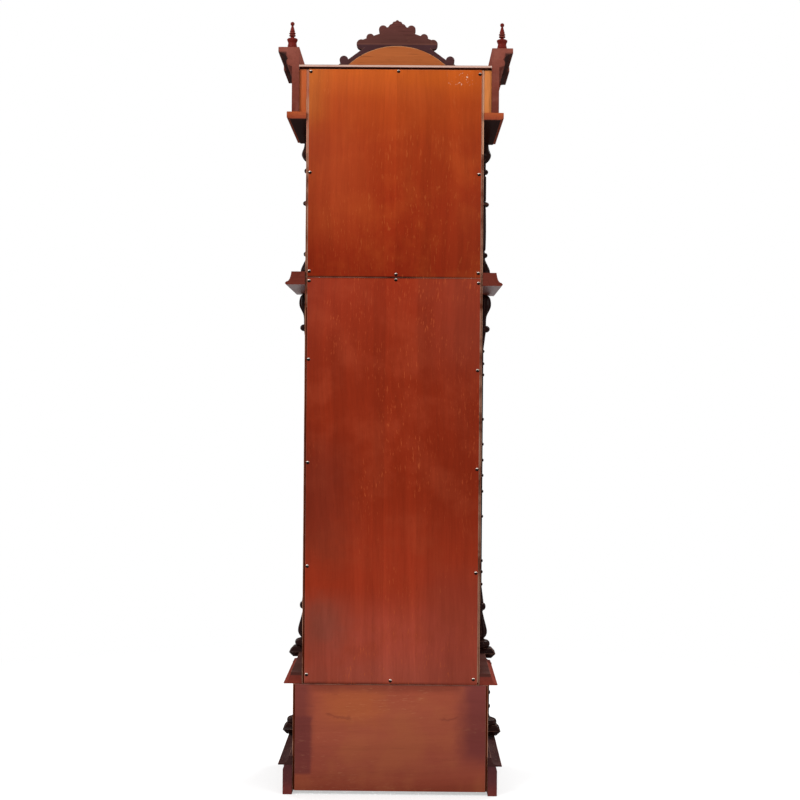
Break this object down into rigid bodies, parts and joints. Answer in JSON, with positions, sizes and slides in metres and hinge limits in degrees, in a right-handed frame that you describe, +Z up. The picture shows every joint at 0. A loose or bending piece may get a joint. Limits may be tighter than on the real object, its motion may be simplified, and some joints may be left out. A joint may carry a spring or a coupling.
{
  "type": "floor clock",
  "caption": "Tall wooden floor clock with moulded plinth, turned columns, glazed waist and hood doors, carved crest, weight-driven movement and swinging pendulum.",
  "frame": {"origin": "on the floor under the middle of the clock's box", "axes": "+Z up along the height, -Y out of the front with the dial, +Y out of the back panels, +X to the right seen from the front"},
  "size_m": [0.696, 0.444, 2.35],
  "materials": {
    "panel_wood": "red-brown stained veneer under satin lacquer",
    "frame_wood": "dark red-brown stained hardwood under satin lacquer",
    "dark_wood": "deep mahogany stain under satin lacquer",
    "light_wood": "orange-brown stained board",
    "crest_wood": "purple-brown stained board with sawn outline",
    "brass": "polished brass",
    "steel": "blued and brushed steel",
    "glass": "clear float glass",
    "dial_paint": "ivory painted metal"
  },
  "bodies": {
    "case": {"plinth_skirt": "frame_wood", "plinth_moulding": "frame_wood", "base_side_left": "frame_wood", "base_side_right": "frame_wood", "base_front_panel": "panel_wood", "base_back_panel": "panel_wood", "base_moulding": "frame_wood", "case_side_left": "frame_wood", "case_side_right": "frame_wood", "lower_back_panel": "panel_wood", "upper_back_panel": "panel_wood", "top_board": "light_wood", "hood_moulding": "dark_wood", "lower_cornice": "frame_wood", "upper_cornice_left": "frame_wood", "upper_cornice_right": "frame_wood", "frieze_filler_left": "light_wood", "frieze_filler_right": "light_wood", "tympanum": "light_wood", "crest": "crest_wood", "base_column_left": "dark_wood", "base_column_right": "dark_wood", "waist_column_left": "dark_wood", "waist_column_right": "dark_wood", "hood_column_left": "dark_wood", "hood_column_right": "dark_wood", "finial_left": "dark_wood", "finial_right": "dark_wood", "waist_door_hinge": "brass", "hood_door_hinge": "brass", "seatboard": "panel_wood", "movement_front_plate": "brass", "movement_back_plate": "brass", "dial_plate": "dial_paint", "gong_rod": "steel"},
    "waist_door": {"waist_door_frame": "frame_wood", "waist_door_glass": "glass", "waist_door_knob": "brass"},
    "hood_door": {"hood_door_frame": "frame_wood", "hood_door_glass": "glass", "hood_door_knob": "brass"},
    "minute_hand": {"minute_hand": "steel"},
    "hour_hand": {"hour_hand": "steel"},
    "minute_wheel": {"minute_wheel": "brass"},
    "centre_wheel": {"centre_wheel": "brass"},
    "third_wheel": {"third_wheel": "brass"},
    "escape_wheel": {"escape_wheel": "brass"},
    "pallet_anchor": {"pallet_anchor": "steel"},
    "pendulum": {"pendulum_rod": "brass", "pendulum_bob": "brass", "rating_nut": "brass"},
    "going_barrel": {"going_barrel": "brass"},
    "strike_barrel": {"strike_barrel": "brass"},
    "going_weight": {"going_weight": "brass", "going_cable": "steel"},
    "strike_weight": {"strike_weight": "brass", "strike_cable": "steel"},
    "strike_hammer": {"strike_hammer": "brass"}
  },
  "joints": [
    {"name": "waist_door_swing", "type": "hinge", "parent": "case", "child": "waist_door", "pos_m": [0.2385, -0.1753, 0.9075], "axis": [0, 0, 1], "range_deg": [0, 92]},
    {"name": "hood_door_swing", "type": "hinge", "parent": "case", "child": "hood_door", "pos_m": [0.2385, -0.1753, 1.7065], "axis": [0, 0, 1], "range_deg": [0, 92]},
    {"name": "minute_hand_turn", "type": "hinge", "parent": "case", "child": "minute_hand", "pos_m": [0, -0.1, 1.706], "axis": [0, 1, 0], "continuous": true},
    {"name": "hour_hand_turn", "type": "hinge", "parent": "case", "child": "hour_hand", "pos_m": [0, -0.1, 1.706], "axis": [0, 1, 0], "continuous": true},
    {"name": "minute_wheel_turn", "type": "hinge", "parent": "case", "child": "minute_wheel", "pos_m": [-0.0242, -0.085, 1.706], "axis": [0, 1, 0], "continuous": true},
    {"name": "escape_wheel_turn", "type": "hinge", "parent": "case", "child": "escape_wheel", "pos_m": [0, -0.04, 1.75671], "axis": [0, 1, 0], "continuous": true},
    {"name": "third_wheel_turn", "type": "hinge", "parent": "case", "child": "third_wheel", "pos_m": [0.0154, -0.04, 1.73267], "axis": [0, 1, 0], "continuous": true},
    {"name": "centre_wheel_turn", "type": "hinge", "parent": "case", "child": "centre_wheel", "pos_m": [0, -0.04, 1.706], "axis": [0, 1, 0], "continuous": true},
    {"name": "pendulum_swing", "type": "hinge", "parent": "case", "child": "pendulum", "pos_m": [0, 0.03, 1.78371], "axis": [0, 1, 0], "range_deg": [-3, 3]},
    {"name": "anchor_rock", "type": "hinge", "parent": "case", "child": "pallet_anchor", "pos_m": [0, 0, 1.78371], "axis": [0, 1, 0], "range_deg": [-3, 3]},
    {"name": "going_weight_fall", "type": "slide", "parent": "case", "child": "going_weight", "axis": [0, 0, 1], "range_m": [0, 0.85], "deforming": ["going_cable"]},
    {"name": "strike_weight_fall", "type": "slide", "parent": "case", "child": "strike_weight", "axis": [0, 0, 1], "range_m": [0, 0.85], "deforming": ["strike_cable"]},
    {"name": "going_barrel_turn", "type": "hinge", "parent": "case", "child": "going_barrel", "pos_m": [-0.046, -0.04, 1.652], "axis": [0, 1, 0], "range_deg": [0, 2300]},
    {"name": "strike_barrel_turn", "type": "hinge", "parent": "case", "child": "strike_barrel", "pos_m": [0.046, -0.04, 1.652], "axis": [0, -1, 0], "range_deg": [0, 2300]},
    {"name": "hammer_lift", "type": "hinge", "parent": "case", "child": "strike_hammer", "pos_m": [0.08, 0.06, 1.65], "axis": [0, 1, 0], "range_deg": [0, 14], "stiffness_Nm_per_rad": 0.5, "springref_deg": -1.72}
  ],
  "couplings": [
    {"joint": "hour_hand_turn", "follows": "minute_hand_turn", "ratio": 0.083333},
    {"joint": "minute_wheel_turn", "follows": "minute_hand_turn", "ratio": -0.33333},
    {"joint": "third_wheel_turn", "follows": "centre_wheel_turn", "ratio": -7.5},
    {"joint": "escape_wheel_turn", "follows": "centre_wheel_turn", "ratio": 60},
    {"joint": "anchor_rock", "follows": "pendulum_swing", "ratio": 1},
    {"joint": "going_barrel_turn", "follows": "going_weight_fall", "rad_per_m": 46.512},
    {"joint": "strike_barrel_turn", "follows": "strike_weight_fall", "rad_per_m": 46.512}
  ]
}
